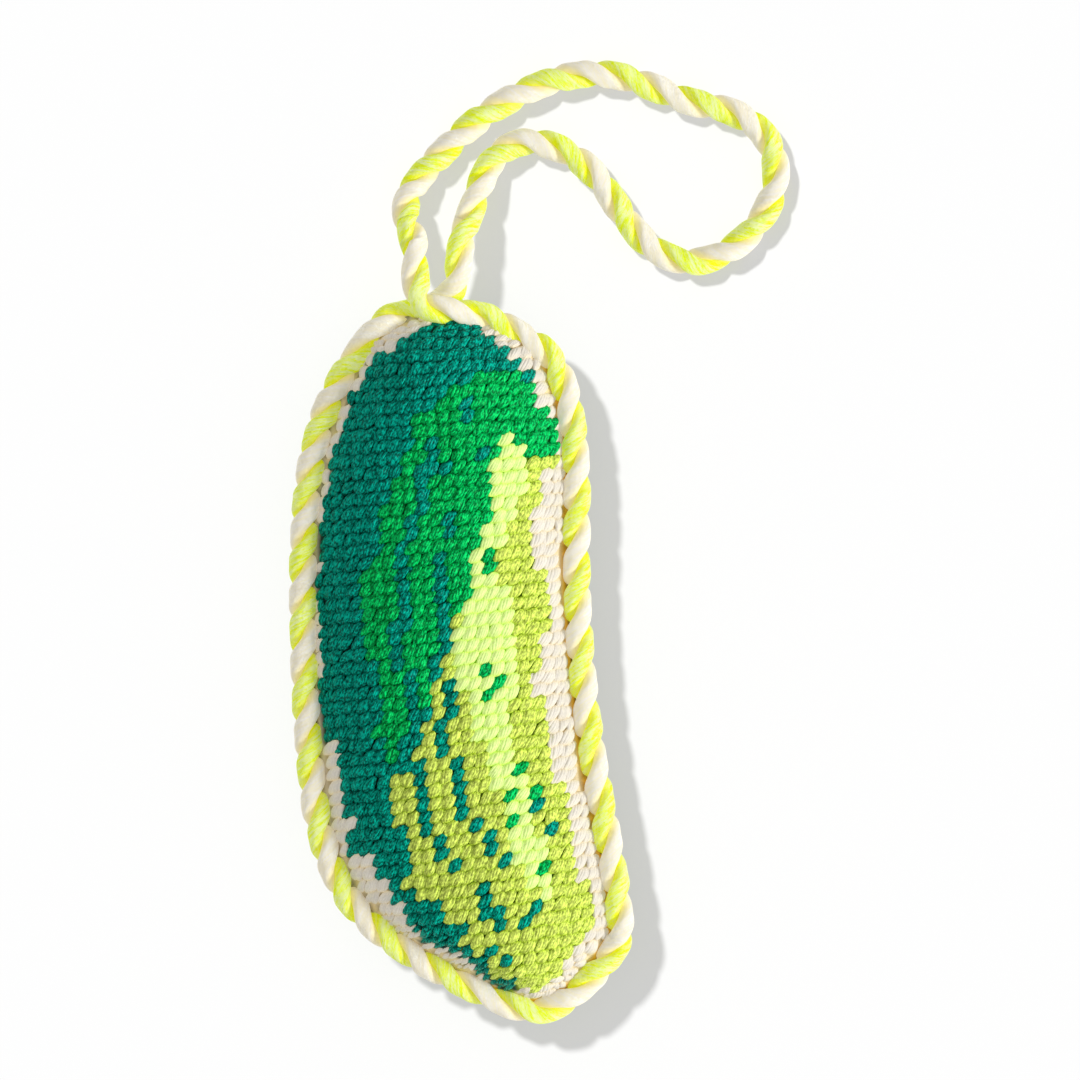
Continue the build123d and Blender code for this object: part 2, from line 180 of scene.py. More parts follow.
# Plies, with changes of thickness as size, waves along the route and phase in radians, and the lay of their fibres
PLY_OFFSET = 0.98
PLY_DEPTH = 1.12
PLY_WIDTH = 1.6
PLY_WAVES = [(0.03, 58, 1.0), (0.015, 89, 2.0), (0.015, 146, 0.0)]
# Reach round each ply of the colour painted as shade in the groove between the plies
GROOVE_MEAN = 0.75
GROOVE_SWING = 0.6
FIBRE_LAY = 0.5
FIBRE_STRETCH = 0.55
FIBRE_RADIUS = 1.4
FIBRES_APART = 9

# Turns of the twist at distances along the route, where the yellow ply comes to the front
ROUTE_TURNS = 37
TWIST = [
    (3.4, 0), (25.5, 2), (134.5, 11), (177.9, 14), (216.6, 18), (279.2, 24), (305.5, 26), (352.5, 30), (408.3, 35),
    (434.6, ROUTE_TURNS),
]

# Noise in the materials: its scale, to a metre or to the unit of a fibre's lay, and the part of its range that is used
GLINT_SCALE = 3400
GLINT_LENGTH = 1.8
GLINT_RANGE = (0.38, 0.64)
FIBRE_SCALE = 8.0
PATCH_SCALE = 1.3
STREAK_RANGE = (0.86, 1.14)
PILE_SCALE = 1500
FILL_SCALE = 900
BRUSHED_SHARE = 0.1
PILE_RANGE = (0.36, 0.64)

# Darker and lighter tones in the materials, as shares of a colour
THREAD_SHADE = 0.8
WEAVE_SHADE = 0.6
PILE_SHADE = 0.5
BRUSHED_TONES = (0.7, 1.25)

# Width of a band of Blender's wave texture at a scale of 1
WAVE_BAND = 2 * math.pi / 20

# Stage, in metres
FLOOR_HALF = 3.0
VIEW_CENTRE = (0.0119, 0.01775)
VIEW_WIDTH = 0.162
CAMERA_DISTANCE = 0.9


def srgb(red, green, blue):
    """A colour as the eye reads it, from 0 to 255, as the linear values that shaders take."""
    shares = [value / 255 for value in (red, green, blue)]
    return tuple(v / 12.92 if v <= 0.04045 else ((v + 0.055) / 1.055) ** 2.4 for v in shares)


# Threads: material slot, colour, colour painted as shade in the dips, paint under it, range of its painted glints,
# its painted glow, and how far its strands stray from one another
Thread = namedtuple("Thread", "slot colour deep paint dim bright glow stray")
THREADS = {
    "teal_stitches": Thread(
        slot="teal_thread", colour=srgb(0, 136, 116), deep=srgb(0, 84, 72), paint=srgb(0, 58, 50),
        dim=0.46, bright=2.2, glow=0.0, stray=0.06,
    ),
    "green_stitches": Thread(
        slot="green_thread", colour=srgb(4, 178, 88), deep=srgb(0, 120, 52), paint=srgb(0, 90, 38),
        dim=0.46, bright=1.9, glow=0.0, stray=0.06,
    ),
    "lime_stitches": Thread(
        slot="lime_thread", colour=srgb(210, 228, 102), deep=srgb(160, 188, 20), paint=srgb(140, 168, 20),
        dim=0.66, bright=1.36, glow=0.06, stray=0.05,
    ),
    "neon_stitches": Thread(
        slot="neon_thread", colour=srgb(212, 235, 146), deep=srgb(200, 234, 80), paint=srgb(196, 238, 56),
        dim=0.9, bright=1.08, glow=0.29, stray=0.02,
    ),
    "cream_stitches": Thread(
        slot="cream_thread", colour=srgb(212, 206, 194), deep=srgb(231, 216, 180), paint=srgb(240, 220, 176),
        dim=0.95, bright=1.04, glow=0.27, stray=0.02,
    ),
}
SEWING_THREAD = Thread(
    slot="sewing_thread", colour=srgb(238, 232, 214), deep=srgb(200, 186, 150), paint=None,
    dim=0.9, bright=1.05, glow=0.0, stray=0.0,
)

# Colour of the canvas in the valley along the cord: on the right a painted reflection of the yellow cord with painted
# shade, and on the left a beige like the cream border
GOLD = srgb(250, 196, 70)
BEIGE = srgb(216, 206, 186)

PILE_GREEN = srgb(104, 160, 122)
FILL_WHITE = srgb(240, 240, 236)


# Materials


def new_material(name):
    """A material with its nodes, links and shader."""
    material = bpy.data.materials.new(name)
    material.use_nodes = True
    nodes = material.node_tree.nodes
    return material, nodes, material.node_tree.links, nodes["Principled BSDF"]


def mix_colour(nodes, links, factor, low, high, blend="MIX"):
    """A colour mix. Each input is a value or the socket that it comes from."""
    mix = nodes.new("ShaderNodeMix")
    mix.data_type = "RGBA"
    mix.blend_type = blend
    for socket, value in zip((mix.inputs["Factor"], mix.inputs["A"], mix.inputs["B"]), (factor, low, high)):
        if isinstance(value, bpy.types.NodeSocket):
            links.new(value, socket)
        elif isinstance(value, (int, float)):
            socket.default_value = value
        else:
            socket.default_value = (*value, 1)
    return mix.outputs["Result"]


def shaded(nodes, links, colour, share):
    """A colour from a socket, made darker."""
    return mix_colour(nodes, links, 1.0, colour, (share, share, share), "MULTIPLY")


def noise(nodes, links, scale, detail, vector=None):
    """Noise from 0 to 1, in object space unless it is given other coordinates."""
    texture = nodes.new("ShaderNodeTexNoise")
    texture.inputs["Scale"].default_value = scale
    texture.inputs["Detail"].default_value = detail
    if vector is None:
        vector = nodes.new("ShaderNodeTexCoord").outputs["Object"]
    links.new(vector, texture.inputs["Vector"])
    return texture.outputs["Fac"]


def spread_out(nodes, links, value, used, low=0.0, high=1.0):
    """The used part of a value's range, spread out from low to high."""
    spread = nodes.new("ShaderNodeMapRange")
    for name, number in zip(("From Min", "From Max", "To Min", "To Max"), (*used, low, high)):
        spread.inputs[name].default_value = number
    links.new(value, spread.inputs["Value"])
    return spread.outputs["Result"]


def add_bump(nodes, links, shader, height, strength, distance):
    """Fine relief on a shader's normal, with its distance in metres."""
    bump = nodes.new("ShaderNodeBump")
    bump.inputs["Strength"].default_value = strength
    bump.inputs["Distance"].default_value = distance
    links.new(height, bump.inputs["Height"])
    links.new(bump.outputs["Normal"], shader.inputs["Normal"])


def attribute(nodes, name):
    """The node that reads a mesh attribute."""
    node = nodes.new("ShaderNodeAttribute")
    node.attribute_name = name
    return node


def glow_in_colour(links, shader, colour, glow):
    """Gives a shader a colour, and a glow of that colour."""
    links.new(colour, shader.inputs["Base Color"])
    links.new(colour, shader.inputs["Emission Color"])
    shader.inputs["Emission Strength"].default_value = glow


def thread_material(thread):
    """Stranded thread: a colour painted as shade where it goes down into the canvas, and fine glints of its twist
    painted into the colour as lighter and darker specks.
    """
    material, nodes, links, shader = new_material(thread.slot)
    lit = mix_colour(nodes, links, attribute(nodes, "rise").outputs["Fac"], thread.deep, thread.colour)
    dark = tuple(THREAD_SHADE * value for value in thread.colour)
    half_dark = mix_colour(nodes, links, 0.5, lit, dark)
    varied = mix_colour(nodes, links, attribute(nodes, "tone").outputs["Fac"], lit, half_dark)
    laid = nodes.new("ShaderNodeMapping")
    laid.vector_type = "TEXTURE"
    laid.inputs["Rotation"].default_value = (0, 0, math.atan2(STITCH_RISE, STITCH_RUN))
    laid.inputs["Scale"].default_value = (GLINT_LENGTH, 1, 1)
    links.new(nodes.new("ShaderNodeTexCoord").outputs["Object"], laid.inputs["Vector"])
    # Painted glints: the twist noise scales the colour lighter as painted highlights and darker as painted shade
    twist = noise(nodes, links, GLINT_SCALE, detail=1.0, vector=laid.outputs["Vector"])
    glinting = nodes.new("ShaderNodeVectorMath")
    glinting.operation = "SCALE"
    links.new(varied, glinting.inputs[0])
    glint = spread_out(nodes, links, twist, GLINT_RANGE, thread.dim, thread.bright)
    links.new(glint, glinting.inputs["Scale"])
    glow_in_colour(links, shader, glinting.outputs["Vector"], thread.glow)
    shader.inputs["Roughness"].default_value = 0.3
    shader.inputs["Specular IOR Level"].default_value = 0.04
    add_bump(nodes, links, shader, twist, strength=0.5, distance=0.00012)
    return material


def cord_material(name, pale, rich, deep, glow):
    """One soft ply of the cord: pale fibres along it over a richer colour, and in the groove a colour painted as shade
    and as light reflected from the other ply.
    """
    material, nodes, links, shader = new_material(name)
    laid = attribute(nodes, "fibre").outputs["Vector"]
    fibre = noise(nodes, links, FIBRE_SCALE, detail=3.0, vector=laid)
    patch = noise(nodes, links, PATCH_SCALE, detail=2.0, vector=laid)
    both = nodes.new("ShaderNodeMath")
    both.operation = "ADD"
    links.new(fibre, both.inputs[0])
    links.new(patch, both.inputs[1])
    streak = spread_out(nodes, links, both.outputs[0], STREAK_RANGE)
    streaked = mix_colour(nodes, links, streak, rich, pale)
    # Painted shade in the groove, where the rise is low
    grooved = mix_colour(nodes, links, attribute(nodes, "rise").outputs["Fac"], deep, streaked)
    glow_in_colour(links, shader, grooved, glow)
    shader.inputs["Roughness"].default_value = 0.6
    shader.inputs["Specular IOR Level"].default_value = 0.12
    add_bump(nodes, links, shader, fibre, strength=0.9, distance=0.0003)
    return material


def canvas_material():
    """Painted canvas: an open weave tinted under each colour of thread."""
    material, nodes, links, shader = new_material("painted_canvas")
    turned = nodes.new("ShaderNodeMapping")
    turned.inputs["Rotation"].default_value = (0, 0, math.radians(-STITCH_LEAN))
    links.new(nodes.new("ShaderNodeTexCoord").outputs["Object"], turned.inputs["Vector"])
    weave = nodes.new("ShaderNodeMath")
    weave.operation = "MAXIMUM"
    for socket, direction in zip(weave.inputs, ("X", "Y")):
        wave = nodes.new("ShaderNodeTexWave")
        wave.bands_direction = direction
        wave.inputs["Scale"].default_value = WAVE_BAND / (STITCH_PITCH * MM)
        links.new(turned.outputs["Vector"], wave.inputs["Vector"])
        links.new(wave.outputs["Fac"], socket)
    tint = attribute(nodes, "tint").outputs["Color"]
    dark = shaded(nodes, links, tint, WEAVE_SHADE)
    links.new(mix_colour(nodes, links, weave.outputs[0], dark, tint), shader.inputs["Base Color"])
    shader.inputs["Roughness"].default_value = 0.9
    add_bump(nodes, links, shader, weave.outputs[0], strength=0.7, distance=0.0003)
    return material


def cloth_material(name, colour, scale):
    """Short-piled cloth or loose fibre: brushed lighter and darker in places, speckled, with a soft sheen."""
    material, nodes, links, shader = new_material(name)
    brushed = noise(nodes, links, scale * BRUSHED_SHARE, detail=3.0)
    fine = noise(nodes, links, scale, detail=3.0)
    dark, light = [tuple(tone * value for value in colour) for tone in BRUSHED_TONES]
    patchy = mix_colour(nodes, links, brushed, dark, light)
    speckle = spread_out(nodes, links, fine, PILE_RANGE)
    piled = mix_colour(nodes, links, speckle, shaded(nodes, links, patchy, PILE_SHADE), patchy)
    links.new(piled, shader.inputs["Base Color"])
    shader.inputs["Roughness"].default_value = 0.92
    shader.inputs["Sheen Weight"].default_value = 0.3
    shader.inputs["Sheen Roughness"].default_value = 0.4
    add_bump(nodes, links, shader, fine, strength=1.0, distance=0.0006)
    return material


def floor_material():
    """White floor that shows the shadow. From below it is clear, so the back can be looked at."""
    material, nodes, links, shader = new_material("white_floor")
    mix = nodes.new("ShaderNodeMixShader")
    links.new(nodes.new("ShaderNodeNewGeometry").outputs["Backfacing"], mix.inputs[0])
    links.new(shader.outputs["BSDF"], mix.inputs[1])
    links.new(nodes.new("ShaderNodeBsdfTransparent").outputs["BSDF"], mix.inputs[2])
    links.new(mix.outputs["Shader"], nodes["Material Output"].inputs["Surface"])
    shader.inputs["Base Color"].default_value = (0.3, 0.3, 0.3, 1)
    shader.inputs["Roughness"].default_value = 1.0
    shader.inputs["Specular IOR Level"].default_value = 0.0
    shader.inputs["Emission Color"].default_value = (1, 1, 1, 1)
    shader.inputs["Emission Strength"].default_value = 0.45
    return material


# Meshes


def make_piece(name, points, faces, materials, face_materials=None):
    """A smooth mesh object from points in millimetres."""
    mesh = bpy.data.meshes.new(name)
    mesh.from_pydata((np.asarray(points) * MM).tolist(), [], faces)
    for material in materials:
        mesh.materials.append(material)
    if face_materials is not None:
        mesh.polygons.foreach_set("material_index", np.asarray(face_materials, np.int32))
    mesh.shade_smooth()
    piece = bpy.data.objects.new(name, mesh)
    bpy.context.scene.collection.objects.link(piece)
    return piece


def point_values(piece, name, values):
    """Stores one number for each point of a mesh."""
    data = piece.data.attributes.new(name, "FLOAT", "POINT").data
    data.foreach_set("value", np.asarray(values, np.float32))


def tube_faces(rings, sides, first=0):
    """Faces of a closed tube whose points run ring by ring."""
    faces = []
    for ring in range(rings - 1):
        for side in range(sides):
            here = first + ring * sides
            after = (side + 1) % sides
            faces.append((here + side, here + after, here + sides + after, here + sides + side))
    faces.append(tuple(first + side for side in reversed(range(sides))))
    faces.append(tuple(first + (rings - 1) * sides + side for side in range(sides)))
    return faces


# Stitched face


def mesh_tree(meshes):
    """A search tree of the faces of some meshes, in their order."""
    points = []
    polygons = []
    for mesh in meshes:
        first = len(points)
        points.extend(vertex.co.copy() for vertex in mesh.vertices)
        polygons.extend([first + index for index in polygon.vertices] for polygon in mesh.polygons)
    return BVHTree.FromPolygons(points, polygons)


def ray_down(tree, x, y):
    """Spot, normal and number of the face that a look straight down meets first at a place."""
    spot, normal, index, _ = tree.ray_cast(Vector((x * MM, y * MM, LOOK_FROM * MM)), Vector((0, 0, -1)))
    return spot, normal, index


class StitchedFace:
    """The outer surface of the stitches as a smooth crown, and the colour of thread at each place on it."""

    def __init__(self, crown, names):
        self.crown = mesh_tree([crown.data])
        self.threads = mesh_tree([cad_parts[name].data for name in names])
        self.owners = []
        for name in names:
            self.owners.extend([name] * len(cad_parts[name].data.polygons))

    def look_up(self, x, y):
        """Height in millimetres and outward normal at a place on the crown, or None beside it."""
        spot, normal, _ = ray_down(self.crown, x, y)
        if spot is None:
            return None
        if normal.z < 0:
            normal = -normal
        return spot.z / MM, np.array(normal)

    def thread_at(self, x, y):
        """Name of the thread node whose stitches are worked at a place."""
        spot, _, index = ray_down(self.threads, x, y)
        if spot is None:
            left, right = TEAL_TOP_SIDES
            return "teal_stitches" if y > TEAL_TOP and left < x < right else "cream_stitches"
        owner = self.owners[index]
        found = self.look_up(x, y)
        for before, (left, right), along, reach in BORDERS:
            border = SEAM_HEIGHT + np.interp(y, along, reach)
            if owner == before and left < x < right and found and found[0] < border:
                return "cream_stitches"
        for low, high, before, after in REWORKED:
            if owner == before and low[0] < x < high[0] and low[1] < y < high[1]:
                return after
        return owner


def stitch_lean(along):
    """Lean of the canvas at a height on the face, in degrees."""
    return STITCH_LEAN - STITCH_BEND * along


def stitch_place(across, along):
    """Place on the face of a point given along canvas rows and columns, from the middle."""
    lean = math.radians(stitch_lean(along))
    mean_lean = math.radians(stitch_lean(along / 2))
    x = across * math.cos(lean) - along * math.sin(mean_lean)
    y = across * math.sin(lean) + along * math.cos(mean_lean)
    return np.array([x, y])


def stitch_strands(face, centre, lean, height, normal, across, along, stray):
    """Points of one tent stitch: a bundle of strands that rises out of one hole and goes down into the next.

    On a steep side the canvas is seen at an angle, so a stitch there takes a share of the plan, across and along.
    """
    turn = lean + random.normal(0, math.radians(TURN_SPREAD))
    row = np.array([math.cos(turn), math.sin(turn)])
    column = np.array([-math.sin(turn), math.cos(turn)])
    slant = STITCH_RUN * across * random.uniform(*RUN_RANGE) * row + STITCH_RISE * along * column
    centre = centre + random.normal(0, PLACE_SPREAD, 2) * (across, along)
    fullness = random.uniform(*FULLNESS_RANGE)
    lift = random.normal(0, LIFT_SPREAD)
    twist = random.uniform(-TWIST_LIMIT, TWIST_LIMIT)
    strand_lift = random.normal(0, stray, len(STRAND_OFFSETS))
    strand_shift = random.normal(0, stray, len(STRAND_OFFSETS))
    angles = np.arange(STITCH_SIDES) * 2 * math.pi / STITCH_SIDES
    strands = np.zeros((len(STRAND_OFFSETS), len(STITCH_STEPS), STITCH_SIDES, 3))
    for step, share in enumerate(STITCH_STEPS):
        spot = centre + slant * share
        found = face.look_up(*spot)
        if found is None:
            offset = spot - centre
            local_height = height - (normal[0] * offset[0] + normal[1] * offset[1]) / max(normal[2], NORMAL_LIMIT)
            local_normal = normal
        else:
            local_height, local_normal = found
        fall = -(local_normal[:2] @ row) / max(local_normal[2], NORMAL_LIMIT)
        side = np.array([*row, fall])
        bulge = math.sqrt(max(0.0, 1 - share**2))
        pinch = 1 - STITCH_PINCH + STITCH_PINCH * bulge
        spread = (STRAND_OFFSETS * STITCH_WIDTH + strand_shift) * pinch * fullness * across
        arch = -STITCH_ARCH * spread**2 + twist * share * STRAND_OFFSETS + strand_lift
        depth = -STRAND_RADIUS - STITCH_DIVE * abs(share) ** STITCH_DIVE_POWER + lift
        radius = STRAND_RADIUS * (1 - STRAND_TAPER + STRAND_TAPER * bulge)
        base = np.array([*spot, local_height])
        middles = base + np.outer(spread, side) + np.outer(arch + depth, local_normal)
        ring = radius * (np.outer(np.cos(angles), side * across) + np.outer(np.sin(angles), local_normal))
        strands[:, step] = middles[:, None, :] + ring[None, :, :]
    return strands.reshape(-1, 3)


def canvas_cells(face):
    """Each stitch's place along the canvas row and column, and its share of a cell where the face is steep."""
    cells = []
    for row in np.arange(-CANVAS_ROWS, CANVAS_ROWS + 1) * STITCH_PITCH:
        for column in np.arange(-CANVAS_COLUMNS, CANVAS_COLUMNS + 1) * STITCH_PITCH:
            found = face.look_up(*stitch_place(column, row))
            lean = math.radians(stitch_lean(row))
            parts_across = 1
            parts_along = 1
            if found is not None:
                _, normal = found
                slope = normal[:2] / max(normal[2], SLOPE_LIMIT)
                parts_across += int(abs(slope @ (math.cos(lean), math.sin(lean))) > STEEP)
                parts_along += int(abs(slope @ (-math.sin(lean), math.cos(lean))) > STEEP)
            for part_across in (np.arange(parts_across) + 0.5) / parts_across - 0.5:
                for part_along in (np.arange(parts_along) + 0.5) / parts_along - 0.5:
                    place = (column + part_across * STITCH_PITCH, row + part_along * STITCH_PITCH)
                    cells.append((*place, 1 / parts_across, 1 / parts_along))
    return cells


def make_stitches(face):
    """All the tent stitches, one piece for each colour of thread."""
    per_strand = len(STITCH_STEPS) * STITCH_SIDES
    per_stitch = per_strand * len(STRAND_OFFSETS)
    stitch_faces = []
    for strand in range(len(STRAND_OFFSETS)):
        stitch_faces.extend(tube_faces(len(STITCH_STEPS), STITCH_SIDES, strand * per_strand))
    # Rise of each point: 1 at the top of a stitch, 0 where it goes into the canvas, where the colour painted as shade
    # is full
    rise = np.tile(np.repeat(1 - np.abs(STITCH_STEPS) ** DIP_POWER, STITCH_SIDES), len(STRAND_OFFSETS))
    bundles = {name: ([], [], []) for name in THREADS}
    for column, row, across, along in canvas_cells(face):
        centre = stitch_place(column, row)
        found = face.look_up(*centre)
        if found is None:
            continue
        name = face.thread_at(*centre)
        points, tones, faces = bundles[name]
        first = len(points) * per_stitch
        lean = math.radians(stitch_lean(row))
        points.append(stitch_strands(face, centre, lean, *found, across, along, THREADS[name].stray))
        stitch_tone = random.uniform(0, TONE_LIMIT)
        strand_tones = stitch_tone + random.uniform(0, TONE_LIMIT, len(STRAND_OFFSETS))
        tones.append(np.repeat(strand_tones, per_strand))
        faces.extend(tuple(first + index for index in corners) for corners in stitch_faces)
    for name, (points, tones, faces) in bundles.items():
        thread = THREADS[name]
        piece = make_piece(name + "_worked", np.concatenate(points), faces, [thread_material(thread)])
        point_values(piece, "tone", np.concatenate(tones))
        point_values(piece, "rise", np.tile(rise, len(points)))
        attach(piece, "cushion")
        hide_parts(name)


def finish_sewing_threads():
    """Thread material for the small stitches that hold the panels and the trim."""
    material = thread_material(SEWING_THREAD)
    for name in ("seam_stitches", "closing_stitches", "trim_tacks"):
        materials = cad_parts[name].data.materials
        materials.clear()
        materials.append(material)


# Cloth body


def drawn_in(line, distance):
    """A closed line moved inwards, square to itself."""
    ahead = np.roll(line, -1, axis=0) - np.roll(line, 1, axis=0)
    ahead /= np.linalg.norm(ahead, axis=1, keepdims=True)
    return line + distance * np.column_stack([-ahead[:, 1], ahead[:, 0]])


def crown_height(share):
    """Height of the stitched face where the outline is drawn in to a share."""
    return SEAM_HEIGHT + CROWN_HEIGHT * (1 - max(share, TOP_SHARE) ** 2) ** CROWN_FULLNESS


def canvas_height(share):
    """Height of the canvas under the stitches where the outline is drawn in to a share."""
    return max(crown_height(share) - CANVAS_INSET, SEAM_HEIGHT + CANVAS_LOWEST)


def back_height(share):
    """Height of the cloth back where the outline is drawn in to a share."""
    bend = max(0.0, (share - REST_SHARE) / (1 - REST_SHARE))
    return SEAM_HEIGHT - BACK_DEPTH * (1 - bend**2) ** BACK_FULLNESS


def panel(name, inside_cord, shares, height_at, materials):
    """A cloth panel: rings from the seam margin, round the seam and in to the spine."""
    anchors = spline_line([(*anchor, SEAM_HEIGHT) for anchor in TRIM_ANCHORS], RING_STEPS)[:, :2]
    outline = [np.array(place) for place in TRIM_ROUTE]
    outline[0] = outline[0] + TOP_LIFT
    outline[-1] = outline[-1] + TOP_LIFT
    cord = spline_line(outline, RING_STEPS)[:, :2]
    edge = drawn_in(cord, inside_cord)
    margin = drawn_in(cord, inside_cord + SEAM_MARGIN)
    rings = [np.column_stack([margin, np.full(len(margin), SEAM_HEIGHT)])]
    for share in shares:
        plan = anchors + (edge - anchors) * share
        rings.append(np.column_stack([plan, np.full(len(plan), height_at(share))]))
    count = len(edge)
    faces = []
    for ring in range(len(rings) - 1):
        for index in range(count):
            after = (index + 1) % count
            here = ring * count
            faces.append((here + index, here + after, here + count + after, here + count + index))
    return make_piece(name, np.concatenate(rings), faces, materials)


def close_spine(piece, distance):
    """Joins the two sides of a panel where they meet along the spine."""
    shape = bmesh.new()
    shape.from_mesh(piece.data)
    bmesh.ops.remove_doubles(shape, verts=shape.verts, dist=distance * MM)
    open_edges = [edge for edge in shape.edges if edge.is_boundary]
    margin = SEAM_HEIGHT * MM
    slits = [edge for edge in open_edges if all(abs(vertex.co.z - margin) > 1e-6 for vertex in edge.verts)]
    bmesh.ops.holes_fill(shape, edges=slits, sides=0)
    bmesh.ops.recalc_face_normals(shape, faces=shape.faces)
    shape.to_mesh(piece.data)
    shape.free()


def make_canvas(face):
    """The canvas under the stitches, painted like the thread above it. In the valley along the cord it is beige on the
    left, and on the right it takes a painted reflection of the yellow cord with painted shade.
    """
    piece = panel("canvas_cloth", SEAM_INSIDE_CORD, CROWN_SHARES, canvas_height, [canvas_material()])
    close_spine(piece, FACE_JOIN)
    tints = []
    for vertex in piece.data.vertices:
        x, y, z = vertex.co / MM
        paint = THREADS[face.thread_at(x, y)].paint
        # Valley along the cord: a painted reflection of the yellow cord with painted shade on the right, beige like the
        # cream border on the left
        if z < SEAM_HEIGHT + VALLEY_HEIGHT:
            paint = GOLD if x > 0 else BEIGE
        tints.extend((*paint, 1.0))
    data = piece.data.color_attributes.new("tint", "FLOAT_COLOR", "POINT").data
    data.foreach_set("color", np.asarray(tints, np.float32))
    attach(piece, "cushion")
    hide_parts("canvas_ground")


def swell(piece, pinned):
    """Lets a panel fill out under pressure with its rim held, then keeps each point near where it was."""
    before = np.array([vertex.co for vertex in piece.data.vertices])
    group = piece.vertex_groups.new(name="rim")
    group.add([int(index) for index in pinned], 1.0, "REPLACE")
    cloth = piece.modifiers.new("cloth", "CLOTH")
    settings = cloth.settings
    settings.quality = 6
    settings.mass = 0.1
    settings.tension_stiffness = 12
    settings.compression_stiffness = 8
    settings.bending_stiffness = 0.3
    settings.shrink_min = -0.06
    settings.vertex_group_mass = "rim"
    settings.use_pressure = True
    settings.uniform_pressure_force = 3.0
    settings.effector_weights.gravity = 0.0
    cloth.collision_settings.use_collision = False
    scene = bpy.context.scene
    for number in range(1, SWELL_FRAMES + 1):
        scene.frame_set(number)
    shown = piece.evaluated_get(bpy.context.evaluated_depsgraph_get())
    after = np.array([vertex.co for vertex in shown.data.vertices])
    piece.modifiers.remove(cloth)
    scene.frame_set(1)
    moved = after - before
    far = np.linalg.norm(moved, axis=1, keepdims=True)
    moved *= np.minimum(1.0, SWELL_LIMIT * MM / np.maximum(far, 1e-9))
    moved[pinned] = 0
    settled = before + moved
    settled[:, 2] = np.maximum(settled[:, 2], 0.0)
    piece.data.vertices.foreach_set("co", settled.astype(np.float32).ravel())
    piece.data.update()


def make_back():
    """The cloth back, filled out by the stuffing and flat where it rests."""
    material = cloth_material("backing_pile", PILE_GREEN, PILE_SCALE)
    piece = panel("backing_cloth", SEAM_INSIDE_CORD, BACK_SHARES, back_height, [material])
    close_spine(piece, BACK_JOIN)
    heights = np.array([vertex.co.z for vertex in piece.data.vertices])
    swell(piece, np.flatnonzero(heights > (SEAM_HEIGHT - RIM_DEPTH) * MM))
    smooth = piece.modifiers.new("smooth", "SUBSURF")
    smooth.levels = 1
    smooth.render_levels = 1
    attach(piece, "cushion")
    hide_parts("backing_panel")


def fill_lump(x, y, z):
    """Irregular lumps a few millimetres wide, from -2 to 2."""
    return math.sin(x * 0.9 + 1.3) * math.sin(y * 0.7) + math.sin(y * 1.1 + z * 0.8) * math.sin(x * 0.5 - z)


def make_stuffing():
    """The fibre fill: lumpy inside the cloth."""
    piece = bpy.data.objects.new("fibre_filling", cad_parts["stuffing"].data.copy())
    bpy.context.scene.collection.objects.link(piece)
    piece.data.materials.clear()
    piece.data.materials.append(cloth_material("loose_fibre", FILL_WHITE, FILL_SCALE))
    remesh = piece.modifiers.new("even", "REMESH")
    remesh.mode = "VOXEL"
    remesh.voxel_size = FILL_GRAIN * MM
    remesh.use_smooth_shade = True
    shown = piece.evaluated_get(bpy.context.evaluated_depsgraph_get())
    lumpy = bpy.data.meshes.new_from_object(shown)
    piece.modifiers.remove(remesh)
    piece.data = lumpy
    for vertex in lumpy.vertices:
        inset = FILL_INSET + FILL_LUMP * fill_lump(*(vertex.co / MM))
        vertex.co = vertex.co - vertex.normal * inset * MM
    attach(piece, "cushion")
    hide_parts("stuffing")


# Cord


def spline_line(points, steps):
    """Points along a smooth closed spline that has the given points as its control points."""
    curve = bpy.data.curves.new("cord_route", "CURVE")
    curve.dimensions = "3D"
    spline = curve.splines.new("NURBS")
    spline.points.add(len(points) - 1)
    for control, place in zip(spline.points, points):
        control.co = (*[value * MM for value in place], 1)
    spline.use_cyclic_u = True
    spline.order_u = 3
    spline.resolution_u = steps
    route = bpy.data.objects.new("cord_route", curve)
    mesh = bpy.data.meshes.new_from_object(route)
    line = np.array([vertex.co for vertex in mesh.vertices]) / MM
    bpy.data.meshes.remove(mesh)
    bpy.data.objects.remove(route)
    bpy.data.curves.remove(curve)
    return line


def even_route(points):
    """The cord's closed route in even steps from between its last and first points, their distances, and its length."""
    line = spline_line(points, CORD_STEPS)
    start = (np.array(points[-1]) + np.array(points[0])) / 2
    line = np.roll(line, -int(np.argmin(np.linalg.norm(line - start, axis=1))), axis=0)
    closed = np.vstack([line, line[:1]])
    along = np.concatenate([[0], np.cumsum(np.linalg.norm(np.diff(closed, axis=0), axis=1))])
    distances = np.linspace(0, along[-1], round(along[-1] / CORD_STEP) + 1)[:-1]
    places = np.column_stack([np.interp(distances, along, closed[:, axis]) for axis in range(3)])
    return places, distances, along[-1]


def cord_frames(places):
    """Upward and sideways directions square to the route."""
    ahead = np.roll(places, -1, axis=0) - np.roll(places, 1, axis=0)
    ahead /= np.linalg.norm(ahead, axis=1, keepdims=True)
    up = np.array([0, 0, 1.0]) - ahead * ahead[:, 2:3]
    up /= np.linalg.norm(up, axis=1, keepdims=True)
    return up, np.cross(ahead, up)


def cord_swelling(distances, length):
    """Slight changes in the thickness of the plies along the route, the same at its two ends."""
    around = 2 * math.pi * distances / length
    swelling = 1
    for size, waves, phase in PLY_WAVES:
        swelling = swelling + size * np.sin(waves * around + phase)
    return swelling


